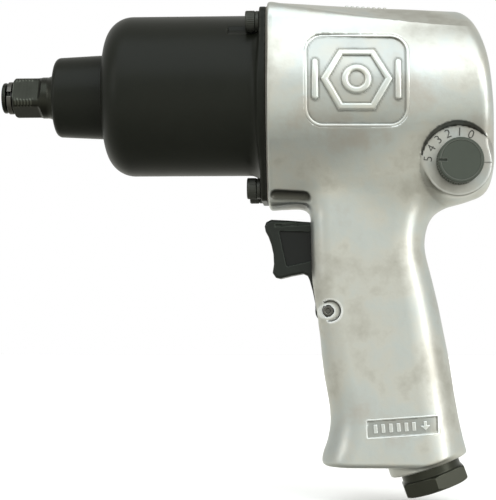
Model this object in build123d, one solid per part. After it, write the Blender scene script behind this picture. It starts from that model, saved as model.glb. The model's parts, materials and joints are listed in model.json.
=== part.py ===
from build123d import *
import os
from math import sin, cos, radians, pi

# Pneumatic impact wrench, millimetres, +Z up. The motor axis is X and the square drive points to -X.
# The origin is the centre of the drive's tip. "Near" is the -Y side, "far" the +Y side.

# ---- square drive and anvil
DRIVE_AF = 12.7             # 1/2 in square
DRIVE_CORNER_R = 7.95
DRIVE_TURN = 22.7           # angle of the drive's corner above the Y axis
SHANK_R = 9.5
COLLAR_R = 13.15
JAW_R, JAW_HALF = 12.8, 25.0
FIT = 0.05                  # radial clearance of a running fit
SEAT = 0.03                 # radial clearance of a seated part

# ---- hammer case
CASE_FRONT, CASE_R, CASE_WALL = 20.3, 31.4, 2.9
SHOULDER_X, SHOULDER_Z, SHOULDER_R = 51.6, 19.5, 12.0
CASE_INNER_R = CASE_R - CASE_WALL
FLANGE_X0, FLANGE_X1 = 102.1, 104.7
GASKET_T = 0.4
SPIGOT_END = 107.1
BOLTS = [(25.0, 24.6, 5.6), (-25.0, 24.6, 5.6), (-11.5, -37.5, 5.0), (11.5, -37.5, 5.0)]  # y, z, ear radius
SCREW_R, HEAD_R, HEAD_X = 2.4, 4.1, 96.8

# ---- hammers and their frame
FRAME_R = 27.2
FRONT_PLATE = (47.5, 53.0)
REAR_PLATE = (92.0, 98.5)
FRONT_HAMMER = (53.5, 72.2)
REAR_HAMMER = (72.8, 91.5)
PIN_RING_R, PIN_R = 22.0, 3.0

# ---- air motor
HOUSING_FRONT = 105.1
BORE_R, SPIGOT_R = 26.5, 30.5
WASHER_END = 108.9
FRONT_PLATE_END = 118.4
CYLINDER_END = 158.4
REAR_PLATE_END = 167.9
MOTOR_END = 168.4
ROTOR_R, CYL_BORE_R = 19.4, 21.5
CYL_OFFSET = CYL_BORE_R - ROTOR_R - FIT
VANES, VANE_T = 6, 2.3

# ---- housing outside: barrel, handle sections (z, front x, rear x, half thickness), foot
PAD_GROW = 1.7
PAD_END = 126.0
BARREL_START_R, BARREL_END_R, BARREL_END = 36.2, 31.8, 196.0
BACK_R, BACK_X, BACK_Z = 218.0, -27.3, -25.7     # the closed back is part of a large sphere
HANDLE = [(-28.0, 121.0, 166.5, 18.5), (-50.5, 121.0, 166.0, 18.0), (-59.0, 121.0, 164.9, 17.4),
          (-72.4, 121.4, 168.0, 16.6), (-91.3, 124.2, 172.2, 15.9), (-110.1, 126.3, 175.7, 15.8),
          (-126.0, 128.4, 178.3, 16.1), (-138.0, 126.6, 180.0, 16.6), (-144.2, 126.2, 180.6, 16.6)]
HANDLE_CORNER = 13.0
PANEL = (119.4, 157.6, -16.0, 18.5, 6.5, 0.9)    # x0, x1, z0, z1, corner radius, depth

# ---- inlet axis: leans back 19.2 degrees, t is the distance up from the boss face
INLET_TILT = 19.2
INLET_X, INLET_Z = 167.15, -145.0
BOSS_R, BOSS_T = 15.5, 2.0
PASSAGE_R = 9.0
SEAT_T = 60.0
HEX_AF = 24.3

# ---- trigger
TRIGGER_PIN = (127.8, -84.6)
TRIGGER_HALF = 7.5
PLUNGER_Z, PLUNGER_R = -62.0, 2.5
PLUNGER_X0, PLUNGER_TIP = 122.5, 133.449

# ---- selector valve across the back of the barrel
DIAL_X, DIAL_Z = 176.6, -29.2
DIAL_FLOOR = 25.0
DIAL_R = 15.7
SPOOL_R, SLEEVE_R = 4.5, 6.3
KNOB_R, KNOB_TOP = 8.65, 35.0
DETENT_R = 7.6
LEVER_REST = 25.0           # the lever leans this far forward of straight down

UP = Vector(-sin(radians(INLET_TILT)), 0, cos(radians(INLET_TILT)))
MIN = (Align.CENTER, Align.CENTER, Align.MIN)


def turned(points):
    """Revolve (x, radius) points about the motor axis."""
    return revolve(make_face(Polyline(*points, close=True)), Axis.X)


def rod(start, direction, length, radius):
    """Solid cylinder from a start point along a direction."""
    return Plane(origin=start, z_dir=direction) * Cylinder(radius, length, align=MIN)


def rod_x(x0, x1, radius, y=0.0, z=0.0):
    return rod((x0, y, z), (1, 0, 0), x1 - x0, radius)


def tube_x(x0, x1, outer, inner, y=0.0, z=0.0):
    return rod_x(x0, x1, outer, y, z) - rod_x(x0 - 1, x1 + 1, inner, y, z)


def rod_y(y0, y1, radius, x, z):
    return rod((x, y0, z), (0, 1, 0), y1 - y0, radius)


def ring_x(x, major, minor):
    return Pos(x, 0, 0) * Rot(0, 90, 0) * Torus(major, minor)


def ring_y(y, major, minor, x, z):
    return Pos(x, y, z) * Rot(90, 0, 0) * Torus(major, minor)


def block(x0, x1, y0, y1, z0, z1):
    return Pos((x0 + x1) / 2, (y0 + y1) / 2, (z0 + z1) / 2) * Box(x1 - x0, y1 - y0, z1 - z0)


def side_prism(points, y0, y1):
    """Extrude an (x, z) outline across Y."""
    plane = Plane(origin=(0, y0, 0), x_dir=(1, 0, 0), z_dir=(0, -1, 0))
    return extrude(plane * make_face(Polyline(*points, close=True)), -(y1 - y0))


def tilt(t, v=0.0, y=0.0):
    """Point at height t and sideways offset v in the inlet's leaning frame."""
    return Vector(INLET_X, y, INLET_Z) + UP * t + Vector(UP.Z, 0, -UP.X) * v


def tilt_rod(t0, t1, radius):
    return rod(tilt(t0), UP, t1 - t0, radius)


def tilt_turned(points):
    """Revolve (radius, t) points about the inlet axis."""
    plane = Plane(origin=tilt(0), x_dir=(UP.Z, 0, -UP.X), z_dir=(0, -1, 0))
    profile = plane * make_face(Polyline(*points, close=True))
    return revolve(profile, Axis(origin=tilt(0), direction=UP))


def outline(x, circles):
    """Hull of (y, z, radius) circles on the plane at x, facing +X."""
    plane = Plane(origin=(x, 0, 0), x_dir=(0, 1, 0), z_dir=(1, 0, 0))
    edges = [Pos(y, z) * Edge.make_circle(r) for y, z, r in circles]
    return plane * make_hull(edges)


def barrel_outline(x, radius, bottom):
    return outline(x, [(0, 0, radius), (0, bottom + 24.0, 24.0)])


def union(parts):
    result = parts[0]
    for part in parts[1:]:
        result = result + part
    return result


def helix_spring(turns, radius, length, wire):
    """Compression spring along +Z from the origin, with closed ends."""
    path = Helix(pitch=length / turns, height=length, radius=radius)
    start = Plane(origin=path @ 0, z_dir=path % 0)
    return sweep(start * Circle(wire), path)


def make_anvil():
    body = turned([(0, 0), (0, 5.2), (0.85, 6.05), (1.5, 6.05), (1.5, 4.1), (4.4, 4.1), (4.4, 7.2),
                   (5.2, DRIVE_CORNER_R), (15.6, DRIVE_CORNER_R), (15.6, 8.05), (17.2, 8.05), (20.4, SHANK_R),
                   (43.2, SHANK_R), (43.2, COLLAR_R), (53.2, COLLAR_R), (53.2, SHANK_R), (91.8, SHANK_R),
                   (91.8, 5.0), (97.0, 5.0), (97.6, 4.4), (97.6, 0)])
    square = Rot(DRIVE_TURN + 45, 0, 0) * Box(11.2, DRIVE_AF, DRIVE_AF)
    keep = Pos(4.4 + 5.6, 0, 0) * square
    body = body - (tube_x(4.4, 15.6, 12.0, 0.01) - keep)
    for x0, x1, turn in ((53.7, 72.0, -90), (73.0, 91.3, 90)):
        wedge = Rot(turn, 0, 0) * side_wedge(x0, x1, JAW_HALF, 30)
        body = body + (rod_x(x0, x1, JAW_R) & wedge)
    return body


def side_wedge(x0, x1, half, reach):
    """Wedge about +Y, spanning plus and minus half degrees."""
    plane = Plane(origin=(x0, 0, 0), x_dir=(0, 1, 0), z_dir=(1, 0, 0))
    a = radians(half)
    face = make_face(Polyline((0, 0), (reach, -reach * sin(a) / cos(a)), (reach, reach * sin(a) / cos(a)),
                              close=True))
    return extrude(plane * face, x1 - x0)


def make_retaining_ring():
    ring = turned([(2.0, 5.25), (2.0, 6.1), (2.35, 6.4), (3.65, 6.4), (4.0, 6.1), (4.0, 5.25)])
    gap = Rot(172, 0, 0) * block(1, 5, 4, 8, -0.9, 0.9)
    return ring - gap


def make_case():
    a = SHOULDER_R - CASE_WALL
    outer = [(CASE_FRONT, 12.9)]
    outer += [(CASE_FRONT + 3 - 3 * cos(t), 12.9 + 3 * sin(t)) for t in [radians(k * 15) for k in range(1, 7)]]
    outer += [(38.0, 16.5), (39.6, 16.9), (39.6, 17.5)]
    outer += [(SHOULDER_X - SHOULDER_R * cos(t), SHOULDER_Z + SHOULDER_R * sin(t) * (CASE_R - SHOULDER_Z) / SHOULDER_R)
              for t in [radians(k * 7.5) for k in range(0, 13)]]
    outer += [(97.6, CASE_R)]
    outer += [(97.6 + 4.5 * sin(t), CASE_R + 4.5 * (1 - cos(t))) for t in [radians(k * 15) for k in range(1, 7)]]
    outer += [(FLANGE_X0 + 1.0, CASE_R + 4.5), (FLANGE_X0 + 1.0, SPIGOT_R - SEAT), (SPIGOT_END, SPIGOT_R - SEAT),
              (SPIGOT_END, CASE_INNER_R), (SHOULDER_X, CASE_INNER_R)]
    outer += [(SHOULDER_X - a * sin(t), SHOULDER_Z + a * cos(t)) for t in [radians(k * 10) for k in range(1, 9)]]
    outer += [(SHOULDER_X - a, SHOULDER_Z), (SHOULDER_X - a, 11.52), (23.0, 11.52), (23.0, 10.4), (CASE_FRONT, 10.4)]
    body = turned(outer)
    flange = extrude(outline(FLANGE_X0, [(0, 0, 33.5)] + BOLTS), FLANGE_X1 - FLANGE_X0)
    flange = chamfer(flange.faces().sort_by(Axis.X)[0].edges(), 0.5)
    body = body + (flange - rod_x(90, 110, SPIGOT_R - SEAT))
    for y, z, _ in BOLTS:
        body = body - rod_x(HEAD_X - 1.2, FLANGE_X0, HEAD_R + 0.3, y, z) - rod_x(100, 106, SCREW_R + 0.15, y, z)
    return body


def make_gasket():
    sheet = extrude(outline(FLANGE_X1, [(0, 0, 33.5)] + BOLTS), GASKET_T)
    sheet = sheet - rod_x(100, 110, SPIGOT_R + 0.1)
    for y, z, _ in BOLTS:
        sheet = sheet - rod_x(100, 110, SCREW_R + 0.15, y, z)
    return sheet


def make_screws():
    head = turned([(HEAD_X, 0), (HEAD_X, HEAD_R - 0.5), (HEAD_X + 0.5, HEAD_R), (HEAD_X + 3.8, HEAD_R),
                   (HEAD_X + 3.8, SCREW_R), (117.2, SCREW_R), (118.0, SCREW_R - 0.8), (118.0, 0)])
    socket = Plane(origin=(HEAD_X, 0, 0), z_dir=(1, 0, 0)) * extrude(RegularPolygon(2.0, 6, major_radius=False), 2.4)
    screw = head - socket
    return Compound(children=[Pos(0, y, z) * screw for y, z, _ in BOLTS])


def make_lock_washers():
    washer = tube_x(HEAD_X + 3.8 + SEAT, FLANGE_X0 - SEAT, 4.0, 2.6) - block(100, 103, 0, 6, -0.4, 0.4)
    return Compound(children=[Pos(0, y, z) * Rot(35 * i, 0, 0) * washer for i, (y, z, _) in enumerate(BOLTS)])


def make_frame():
    front = turned([(FRONT_PLATE[0], COLLAR_R + FIT), (FRONT_PLATE[0], FRAME_R - 2.0), (FRONT_PLATE[0] + 2, FRAME_R),
                    (FRONT_PLATE[1], FRAME_R), (FRONT_PLATE[1], COLLAR_R + FIT)])
    rear = turned([(REAR_PLATE[0], 5.0 + FIT), (REAR_PLATE[0], FRAME_R), (REAR_PLATE[1] - 1, FRAME_R),
                   (REAR_PLATE[1], FRAME_R - 1), (REAR_PLATE[1], 10.0), (104.0, 10.0), (104.5, 9.5), (104.5, 3.0),
                   (97.9, 3.0), (97.9, 5.0 + FIT)])
    webs = [(tube_x(FRONT_PLATE[1], REAR_PLATE[0], FRAME_R, 25.3) &
             (Rot(turn, 0, 0) * side_wedge(FRONT_PLATE[1], REAR_PLATE[0], 25, 40))) for turn in (0, 180)]
    body = union([front, rear] + webs)
    body = body - hex_x(98.2, 105, 9.7)
    for z in (PIN_RING_R, -PIN_RING_R):
        body = body - rod_x(40, 100, PIN_R + SEAT, 0, z)
    return body


def hex_x(x0, x1, flats):
    plane = Plane(origin=(x0, 0, 0), z_dir=(1, 0, 0))
    return extrude(plane * RegularPolygon(flats / 2, 6, major_radius=False), x1 - x0)


def make_hammer(span, flip):
    """Oval hammer swinging on one pin, with a clearance notch round the other pin."""
    x0, x1 = span
    plane = Plane(origin=(x0, 0, 0), x_dir=(0, 1, 0), z_dir=(1, 0, 0))
    body = extrude(plane * Ellipse(21.8, 26.0), x1 - x0) - rod_x(x0 - 1, x1 + 1, 15.3)
    for turn in (0, 180):
        land = tube_x(x0, x1, 16.0, 14.2) & (Rot(turn, 0, 0) * side_wedge(x0, x1, 35, 30))
        body = body + land
    body = body - rod_x(x0 - 1, x1 + 1, PIN_R + FIT, 0, PIN_RING_R)
    body = body - block(x0 - 1, x1 + 1, -7.2, 7.2, -30, -18.4)
    return Rot(180, 0, 0) * body if flip else body


def bearing(x0, width, bore_r, outer_r, pitch_r, ball_r, count):
    """Outer ring, inner ring, balls and cage of a deep-groove ball bearing on the motor axis."""
    xm = x0 + width / 2
    lip = ball_r * 0.45
    groove = ring_x(xm, pitch_r, ball_r + FIT)
    outer = tube_x(x0, x0 + width, outer_r, pitch_r + lip) - groove
    inner = tube_x(x0, x0 + width, pitch_r - lip, bore_r) - groove
    spots = [Rot(360 * i / count, 0, 0) * Pos(xm, 0, pitch_r) for i in range(count)]
    balls = Compound(children=[spot * Sphere(ball_r) for spot in spots])
    cage = tube_x(xm - ball_r - 0.8, xm + ball_r + 0.8, pitch_r + 0.5, pitch_r - 0.5)
    for spot in spots:
        cage = cage - spot * Sphere(ball_r + FIT)
    return outer, inner, balls, cage


def make_rotor():
    body = turned([(99.0, 0), (99.0, 4.6), (107.2, 4.6), (107.2, 6.0), (FRONT_PLATE_END - 1, 6.0),
                   (FRONT_PLATE_END - 1, 7.5), (FRONT_PLATE_END + FIT, 7.5), (FRONT_PLATE_END + FIT, ROTOR_R),
                   (CYLINDER_END - FIT, ROTOR_R), (CYLINDER_END - FIT, 6.6), (CYLINDER_END + 1.4, 6.6),
                   (CYLINDER_END + 1.4, 5.0), (166.6, 5.0), (167.2, 4.4), (167.2, 0)])
    body = body + hex_x(98.8, 107.2, 9.6)
    slot = block(FRONT_PLATE_END, CYLINDER_END, -VANE_T / 2 - FIT, VANE_T / 2 + FIT, 10.3, 21)
    for i in range(VANES):
        body = body - Rot(360 * i / VANES, 0, 0) * slot
    return body


def make_vanes():
    vane = block(FRONT_PLATE_END + 0.1, CYLINDER_END - 0.1, -VANE_T / 2, VANE_T / 2, 10.4, ROTOR_R - 0.1)
    return Compound(children=[Rot(360 * i / VANES, 0, 0) * vane for i in range(VANES)])


def make_cylinder():
    body = rod_x(FRONT_PLATE_END, CYLINDER_END, BORE_R - 0.1)
    body = body - rod_x(FRONT_PLATE_END - 1, CYLINDER_END + 1, CYL_BORE_R, 0, -CYL_OFFSET)
    for k in range(5):
        x = FRONT_PLATE_END + 6 + k * 7
        body = body - block(x - 1.6, x + 1.6, -9, 9, -30, -18)
    return body - dowel_hole()


def dowel_hole():
    return rod_x(112.0, 165.0, 1.25, 0, 23.0)


def make_end_plate(x0, x1, pocket, pocket_r, hole_r):
    return tube_x(x0, x1, BORE_R - 0.1, hole_r) - rod_x(*pocket, pocket_r) - dowel_hole()


def handle_section(z, x0, x1, half):
    return Pos((x0 + x1) / 2, 0, z) * RectangleRounded(x1 - x0, 2 * half, HANDLE_CORNER)


def make_housing():
    barrel = loft([barrel_outline(HOUSING_FRONT, BARREL_START_R, -43.6),
                   barrel_outline(BARREL_END, BARREL_END_R, -41.0)], ruled=True)
    barrel = barrel & (Pos(BACK_X, 0, BACK_Z) * Sphere(BACK_R))
    barrel = fillet(barrel.edges().filter_by(lambda e: e.center().X > 180), 5.0)
    front = [(0, 0, 33.5 + PAD_GROW)] + [(y, z, r + PAD_GROW) for y, z, r in BOLTS]
    fade = [(0, 0, 33.5), (20.0, 22.0, 5.4), (-20.0, 22.0, 5.4), (-11.5, -36.5, 6.0), (11.5, -36.5, 6.0)]
    pad = loft([outline(HOUSING_FRONT, front), outline(PAD_END, fade)], ruled=True)
    grip = loft([handle_section(*row) for row in HANDLE])
    boss = tilt_rod(BOSS_T, 30, BOSS_R)
    below = tilt_rod(-40, BOSS_T, 60)
    grip = fillet(grip.faces().sort_by(Axis.Z)[0].edges(), 2.0)
    body = union([barrel, pad, grip - below, boss])
    body = body + rod_y(-DIAL_FLOOR, DIAL_FLOOR, DIAL_R - 3.0, DIAL_X, DIAL_Z)

    # motor bore, spigot bore and the relief behind the rear bearing
    body = body - rod_x(HOUSING_FRONT - 1, MOTOR_END, BORE_R) - rod_x(HOUSING_FRONT - 1, WASHER_END, SPIGOT_R)
    body = body - rod_x(MOTOR_END - 1, 182.0, 10.0)
    for y, z, _ in BOLTS:
        body = body - rod_x(HOUSING_FRONT - 1, 119.0, SCREW_R + SEAT, y, z)

    # inlet passage, throttle chamber and the ways to and from the selector valve
    body = body - tilt_rod(-1, 14.0, 11.0 + SEAT) - tilt_rod(13, SEAT_T + 3.5, PASSAGE_R)
    body = body - tilt_rod(SEAT_T + 3, 95.0, 7.0)
    body = body - rod((136.0, 0, -57.5), (39.6, 0, 27.8), 44.0, 3.2)
    for y in (-8.0, 8.0):
        body = body - rod((174.0, y, -25.5), (-8.0, 0, 9.0), 11.0, 2.2)
    for y in (-11.0, 11.0):
        body = body - rod((146.0, y, -18.0), (-9.0, 0, -117.0), 118.0, 2.8)
    body = body - block(130.5, 147.5, -11, 11, -148, -141) - block(134, 147.5, -9.5, 9.5, -142, -131)

    # trigger slot, trigger pin, plunger bushing
    px, pz = TRIGGER_PIN
    slot = block(115, 130.6, -TRIGGER_HALF - 0.4, TRIGGER_HALF + 0.4, -88.0, -47.2)
    body = body - slot - rod_y(-TRIGGER_HALF - 0.4, TRIGGER_HALF + 0.4, 5.2, px, pz)
    body = body - rod_y(-25, 25, 2.0 + SEAT, px, pz)
    for y in (-25.0, 14.3):
        body = body - rod_y(y, y + 10.7, 3.95, px, pz)
    body = body - rod_x(129, 139, 4.0, 0, PLUNGER_Z)

    # dial recess on each side, sleeve bore and detent pockets
    for side in (-1, 1):
        y0, y1 = sorted((side * DIAL_FLOOR, side * 45))
        body = body - rod_y(y0, y1, DIAL_R, DIAL_X, DIAL_Z)
        y0, y1 = sorted((side * DIAL_FLOOR, side * 17.0))
        body = body - rod_y(y0, y1, 1.3, DIAL_X, DIAL_Z + side * DETENT_R)
    body = body - rod_y(-30, 30, SLEEVE_R + SEAT, DIAL_X, DIAL_Z)

    # badge panel on each side of the barrel and the long plate recess on the handle
    x0, x1, z0, z1, corner, depth = PANEL
    window = Plane(origin=((x0 + x1) / 2, 0, (z0 + z1) / 2), x_dir=(1, 0, 0), z_dir=(0, -1, 0)) * \
        RectangleRounded(x1 - x0, z1 - z0, corner)
    core = turned([(100, 0), (100, BARREL_START_R - depth + 0.23), (BARREL_END, BARREL_END_R - depth),
                   (BARREL_END, 0)])
    body = body - (extrude(window, 50) - core) - (extrude(window, -50) - core)
    plate = Pos(155.8, 0, -128.5) * Rot(0, -4.2, 0) * Box(27.0, 40, 6.4)
    body = body - (plate - block(100, 200, -15.4, 15.4, -150, -100))
    return body


def make_trigger():
    px, pz = TRIGGER_PIN
    points = [(103.6, -51.8), (105.9, -49.4), (121.1, -50.2), (123.6, -50.4), (122.4, -58), (122.4, -66),
              (124.6, -74), (129.0, -80.0), (px, pz), (124.0, -81.2), (120.9, -72.3), (118.2, -70.2),
              (108.9, -72.0), (106.5, -69.2), (106.9, -63.4), (105.4, -56.7)]
    body = side_prism(points, -TRIGGER_HALF, TRIGGER_HALF)
    front = body.edges().filter_by(lambda e: e.center().X < 108 and abs(e.center().Y) > 7)
    body = fillet(front, 2.0)
    body = body + rod_y(-TRIGGER_HALF, TRIGGER_HALF, 4.5, px, pz)
    for side in (-1, 1):
        y0, y1 = sorted((side * (TRIGGER_HALF - 1.0), side * (TRIGGER_HALF + 1)))
        body = body - side_prism([(109.6, -54.2), (119.6, -54.6), (119.6, -65.0), (112.0, -66.6)], y0, y1)
    return body - rod_y(-20, 20, 2.0 + FIT, px, pz)


def make_plunger():
    """Plunger with a domed head at the trigger and a round tip at the valve stem."""
    dome = [(PLUNGER_X0 + 6 - 6 * cos(a), 6 * sin(a)) for a in [radians(34.5 * k / 6) for k in range(7)]]
    tip = [(PLUNGER_TIP + PLUNGER_R * sin(a), PLUNGER_R * cos(a)) for a in [radians(10 * k) for k in range(9)]]
    points = dome + [(124.6, 3.4), (124.6, PLUNGER_R)] + tip + [(PLUNGER_TIP + PLUNGER_R, 0)]
    return Pos(0, 0, PLUNGER_Z) * turned(points)


def make_valve():
    """Tilt valve: disc below the seat and a long stem above it."""
    return tilt_turned([(0, 54.5), (2.6, 54.5), (3.0, 57.0), (7.4, 57.0), (7.4, 58.6), (2.0, 58.6), (2.0, 93.0),
                        (1.2, 94.0), (0, 94.0)])


def make_strainer():
    body = tilt_turned([(6.6, 14.2), (8.9, 14.2), (8.9, 15.4), (7.6, 15.4), (7.6, 36.8), (8.9, 36.8), (8.9, 38.0),
                        (5.0, 38.0), (5.0, 37.2), (6.6, 36.0)])
    for row in range(3):
        for i in range(4):
            plane = Plane(origin=tilt(19.5 + 6 * row), z_dir=UP)
            body = body - plane * Rot(0, 0, 45 * i + 22.5 * (row % 2)) * Box(20, 2.2, 3.6)
    return body


def make_inlet_bushing():
    body = tilt_turned([(6.0, -8.5), (10.8, -8.5), (10.8, 2), (11.0, 2), (11.0, 9.4), (9.5, 9.4), (9.5, 11.6),
                        (11.0, 11.6), (11.0, 13.2), (10.2, 14.0), (5.5, 14.0), (5.5, 4.0), (6.0, 4.0)])
    plane = Plane(origin=tilt(-8.5), x_dir=(0, 1, 0), z_dir=UP)
    nut = extrude(plane * RegularPolygon(HEX_AF / 2, 6, major_radius=False), 7.5)
    nut = nut & tilt_turned([(0, -8.5), (12.4, -8.5), (14.2, -7.2), (14.2, -1.6), (13.2, -1.0), (0, -1.0)])
    return body + (nut - tilt_rod(-12, 20, 6.0))


def make_sleeve():
    body = rod_y(-DIAL_FLOOR + 1, DIAL_FLOOR + 0.4, SLEEVE_R, DIAL_X, DIAL_Z)
    body = body - rod_y(-40, 40, SPOOL_R + FIT, DIAL_X, DIAL_Z)
    for y in (-8.0, 0.0, 8.0):
        body = body - block(DIAL_X - 10, DIAL_X - 1, y - 2.2, y + 2.2, DIAL_Z - 2.2, DIAL_Z + 3.0)
    return body


def make_knob():
    """Knurled regulator knob with its stem, turned about Y."""
    knob = rod_y(-KNOB_TOP, -DIAL_FLOOR - 0.4, KNOB_R, DIAL_X, DIAL_Z)
    knob = chamfer(knob.edges().filter_by(lambda e: e.center().Y < -KNOB_TOP + 0.1), 0.7)
    for i in range(30):
        a = 2 * pi * i / 30
        x, z = DIAL_X + (KNOB_R + 0.25) * cos(a), DIAL_Z + (KNOB_R + 0.25) * sin(a)
        knob = knob - rod_y(-40, -28.0, 0.7, x, z)
    knob = knob - block(DIAL_X - 9, DIAL_X - 4.5, -40, -KNOB_TOP + 0.8, DIAL_Z - 0.7, DIAL_Z + 0.7)
    knob = knob + rod_y(-DIAL_FLOOR - 1, -14.0, SPOOL_R, DIAL_X, DIAL_Z)
    knob = knob - (rod_y(-22.6, -20.8, 6, DIAL_X, DIAL_Z) - rod_y(-23, -20, 3.3, DIAL_X, DIAL_Z))
    return knob - ring_y(-DIAL_FLOOR - 0.4, DETENT_R, 0.9, DIAL_X, DIAL_Z)


def make_spool():
    body = rod_y(-13.0, 29.5, SPOOL_R, DIAL_X, DIAL_Z)
    for y, side in ((-8.0, 1), (8.0, -1)):
        z0, z1 = sorted((DIAL_Z + side * 1.5, DIAL_Z + side * 6))
        body = body - block(DIAL_X - 6, DIAL_X + 6, y - 2.4, y + 2.4, z0, z1)
    body = body - (rod_y(18.0, 19.8, 6, DIAL_X, DIAL_Z) - rod_y(17, 21, 3.3, DIAL_X, DIAL_Z))
    return body - rod_y(20, 30, 1.52, DIAL_X, DIAL_Z)


def make_lever():
    hub = rod_y(DIAL_FLOOR + 0.8, DIAL_FLOOR + 6.5, 9.0, DIAL_X, DIAL_Z)
    arm = Plane(origin=(DIAL_X, DIAL_FLOOR + 1.6, DIAL_Z), x_dir=(1, 0, 0), z_dir=(0, -1, 0)) * \
        Rot(0, 0, -LEVER_REST) * extrude(make_hull([Edge.make_circle(7.0),
                                                    Pos(0, -14.5) * Edge.make_circle(3.6)]), -5.0)
    body = fillet(hub.edges().filter_by(lambda e: e.center().Y > DIAL_FLOOR + 6), 1.0) + arm
    body = body - rod_y(20, 29.6, SPOOL_R + SEAT, DIAL_X, DIAL_Z) - rod_y(20, 50, 1.6, DIAL_X, DIAL_Z)
    return body - ring_y(DIAL_FLOOR + 0.8, DETENT_R, 0.9, DIAL_X, DIAL_Z)


def make_lever_screw():
    head = DIAL_FLOOR + 6.65
    body = rod_y(24.0, head, 1.48, DIAL_X, DIAL_Z) + rod_y(head, head + 2.0, 3.0, DIAL_X, DIAL_Z)
    return body - block(DIAL_X - 4, DIAL_X + 4, head + 1.0, 40, DIAL_Z - 0.5, DIAL_Z + 0.5)


def make_deflector():
    body = block(130.7, 147.3, -10.8, 10.8, -144.0, -141.6)
    for k in range(4):
        x = 133.4 + 3.7 * k
        body = body - block(x - 0.9, x + 0.9, -8, 8, -150, -140)
    return body


front_bearing = bearing(WASHER_END + FIT, 8.0, 6.0 + SEAT, 14.0, 10.0, 2.4, 8)
rear_bearing = bearing(CYLINDER_END + 1.5, 8.0, 5.0 + SEAT, 13.0, 9.0, 2.3, 8)
wire = 0.55
spring = Plane(origin=tilt(38.0 + wire + 0.05), z_dir=UP) * helix_spring(5, 6.2, 17.8, wire)
small_spring = helix_spring(5, 0.85, 5.6, 0.2)

PARTS = {
    "motor_housing": make_housing(),
    "hammer_case": make_case(),
    "hammer_case_bushing": tube_x(23.0, 42.4, 11.5, SHANK_R + FIT),
    "hammer_case_gasket": make_gasket(),
    "case_screws": make_screws(),
    "case_lock_washers": make_lock_washers(),
    "anvil": make_anvil(),
    "anvil_thrust_washer": tube_x(42.55, 43.15, 12.8, SHANK_R + SEAT),
    "socket_retaining_ring": make_retaining_ring(),
    "retaining_ring_o_ring": ring_x(3.0, 4.68, 0.54),
    "hammer_frame": make_frame(),
    "hammer_pins": Compound(children=[rod_x(48.2, 97.8, PIN_R, 0, z) for z in (PIN_RING_R, -PIN_RING_R)]),
    "front_hammer": make_hammer(FRONT_HAMMER, False),
    "rear_hammer": make_hammer(REAR_HAMMER, True),
    "motor_clamp_washer": tube_x(SPIGOT_END + SEAT, WASHER_END, SPIGOT_R - 0.1, 15.0),
    "front_end_plate": make_end_plate(WASHER_END + SEAT, FRONT_PLATE_END - SEAT,
                                      (WASHER_END - 1, WASHER_END + 8.1), 14.0 + SEAT, 8.2),
    "rear_end_plate": make_end_plate(CYLINDER_END + SEAT, REAR_PLATE_END,
                                     (CYLINDER_END + 1.45, REAR_PLATE_END + 1), 13.0 + SEAT, 7.2),
    "motor_cylinder": make_cylinder(),
    "cylinder_dowel_pin": rod_x(112.2, 164.8, 1.2, 0, 23.0),
    "rear_gasket": tube_x(REAR_PLATE_END + SEAT, MOTOR_END - SEAT, BORE_R - 0.2, 13.4),
    "rotor": make_rotor(),
    "rotor_vanes": make_vanes(),
    "front_bearing_outer_ring": front_bearing[0],
    "front_bearing_inner_ring": front_bearing[1],
    "front_bearing_balls": front_bearing[2],
    "front_bearing_cage": front_bearing[3],
    "rear_bearing_outer_ring": rear_bearing[0],
    "rear_bearing_inner_ring": rear_bearing[1],
    "rear_bearing_balls": rear_bearing[2],
    "rear_bearing_cage": rear_bearing[3],
    "trigger": make_trigger(),
    "trigger_pin": rod_y(-13.6, 13.6, 2.0, *TRIGGER_PIN),
    "throttle_plunger": make_plunger(),
    "plunger_bushing": tube_x(130.7, 134.2, 3.98, PLUNGER_R + FIT, 0, PLUNGER_Z),
    "throttle_valve": make_valve(),
    "throttle_valve_face": tilt_turned([(2.05, 58.65), (7.4, 58.65), (7.4, SEAT_T - 0.1), (2.05, SEAT_T - 0.1)]),
    "throttle_valve_seat": tilt_turned([(5.6, SEAT_T), (PASSAGE_R - SEAT, SEAT_T), (PASSAGE_R - SEAT, SEAT_T + 3.4),
                                        (6.4, SEAT_T + 3.4)]),
    "throttle_valve_spring": spring,
    "inlet_strainer": make_strainer(),
    "inlet_bushing": make_inlet_bushing(),
    "inlet_o_ring": Plane(origin=tilt(10.5), z_dir=UP) * Torus(10.25, 0.72),
    "reverse_valve_bushing": make_sleeve(),
    "reverse_valve": make_spool(),
    "reverse_valve_o_ring": ring_y(18.9, 3.88, 0.55, DIAL_X, DIAL_Z),
    "reverse_lever": make_lever(),
    "reverse_lever_screw": make_lever_screw(),
    "power_regulator_knob": make_knob(),
    "regulator_o_ring": ring_y(-21.7, 3.88, 0.55, DIAL_X, DIAL_Z),
    "detent_balls": Compound(children=[Pos(DIAL_X, s * y, DIAL_Z + s * DETENT_R) * Sphere(1.0)
                                       for s, y in ((-1, DIAL_FLOOR - 0.5), (1, DIAL_FLOOR - 0.15))]),
    "detent_springs": Compound(children=[
        Plane(origin=(DIAL_X, s * 17.4, DIAL_Z + s * DETENT_R), z_dir=(0, s, 0)) * small_spring for s in (-1, 1)]),
    "exhaust_deflector": make_deflector(),
}

os.makedirs("parts", exist_ok=True)
for name, shape in PARTS.items():
    export_step(shape, f"parts/{name}.step")
    print(name, round(shape.volume, 1))
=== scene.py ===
import json
import math

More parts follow.
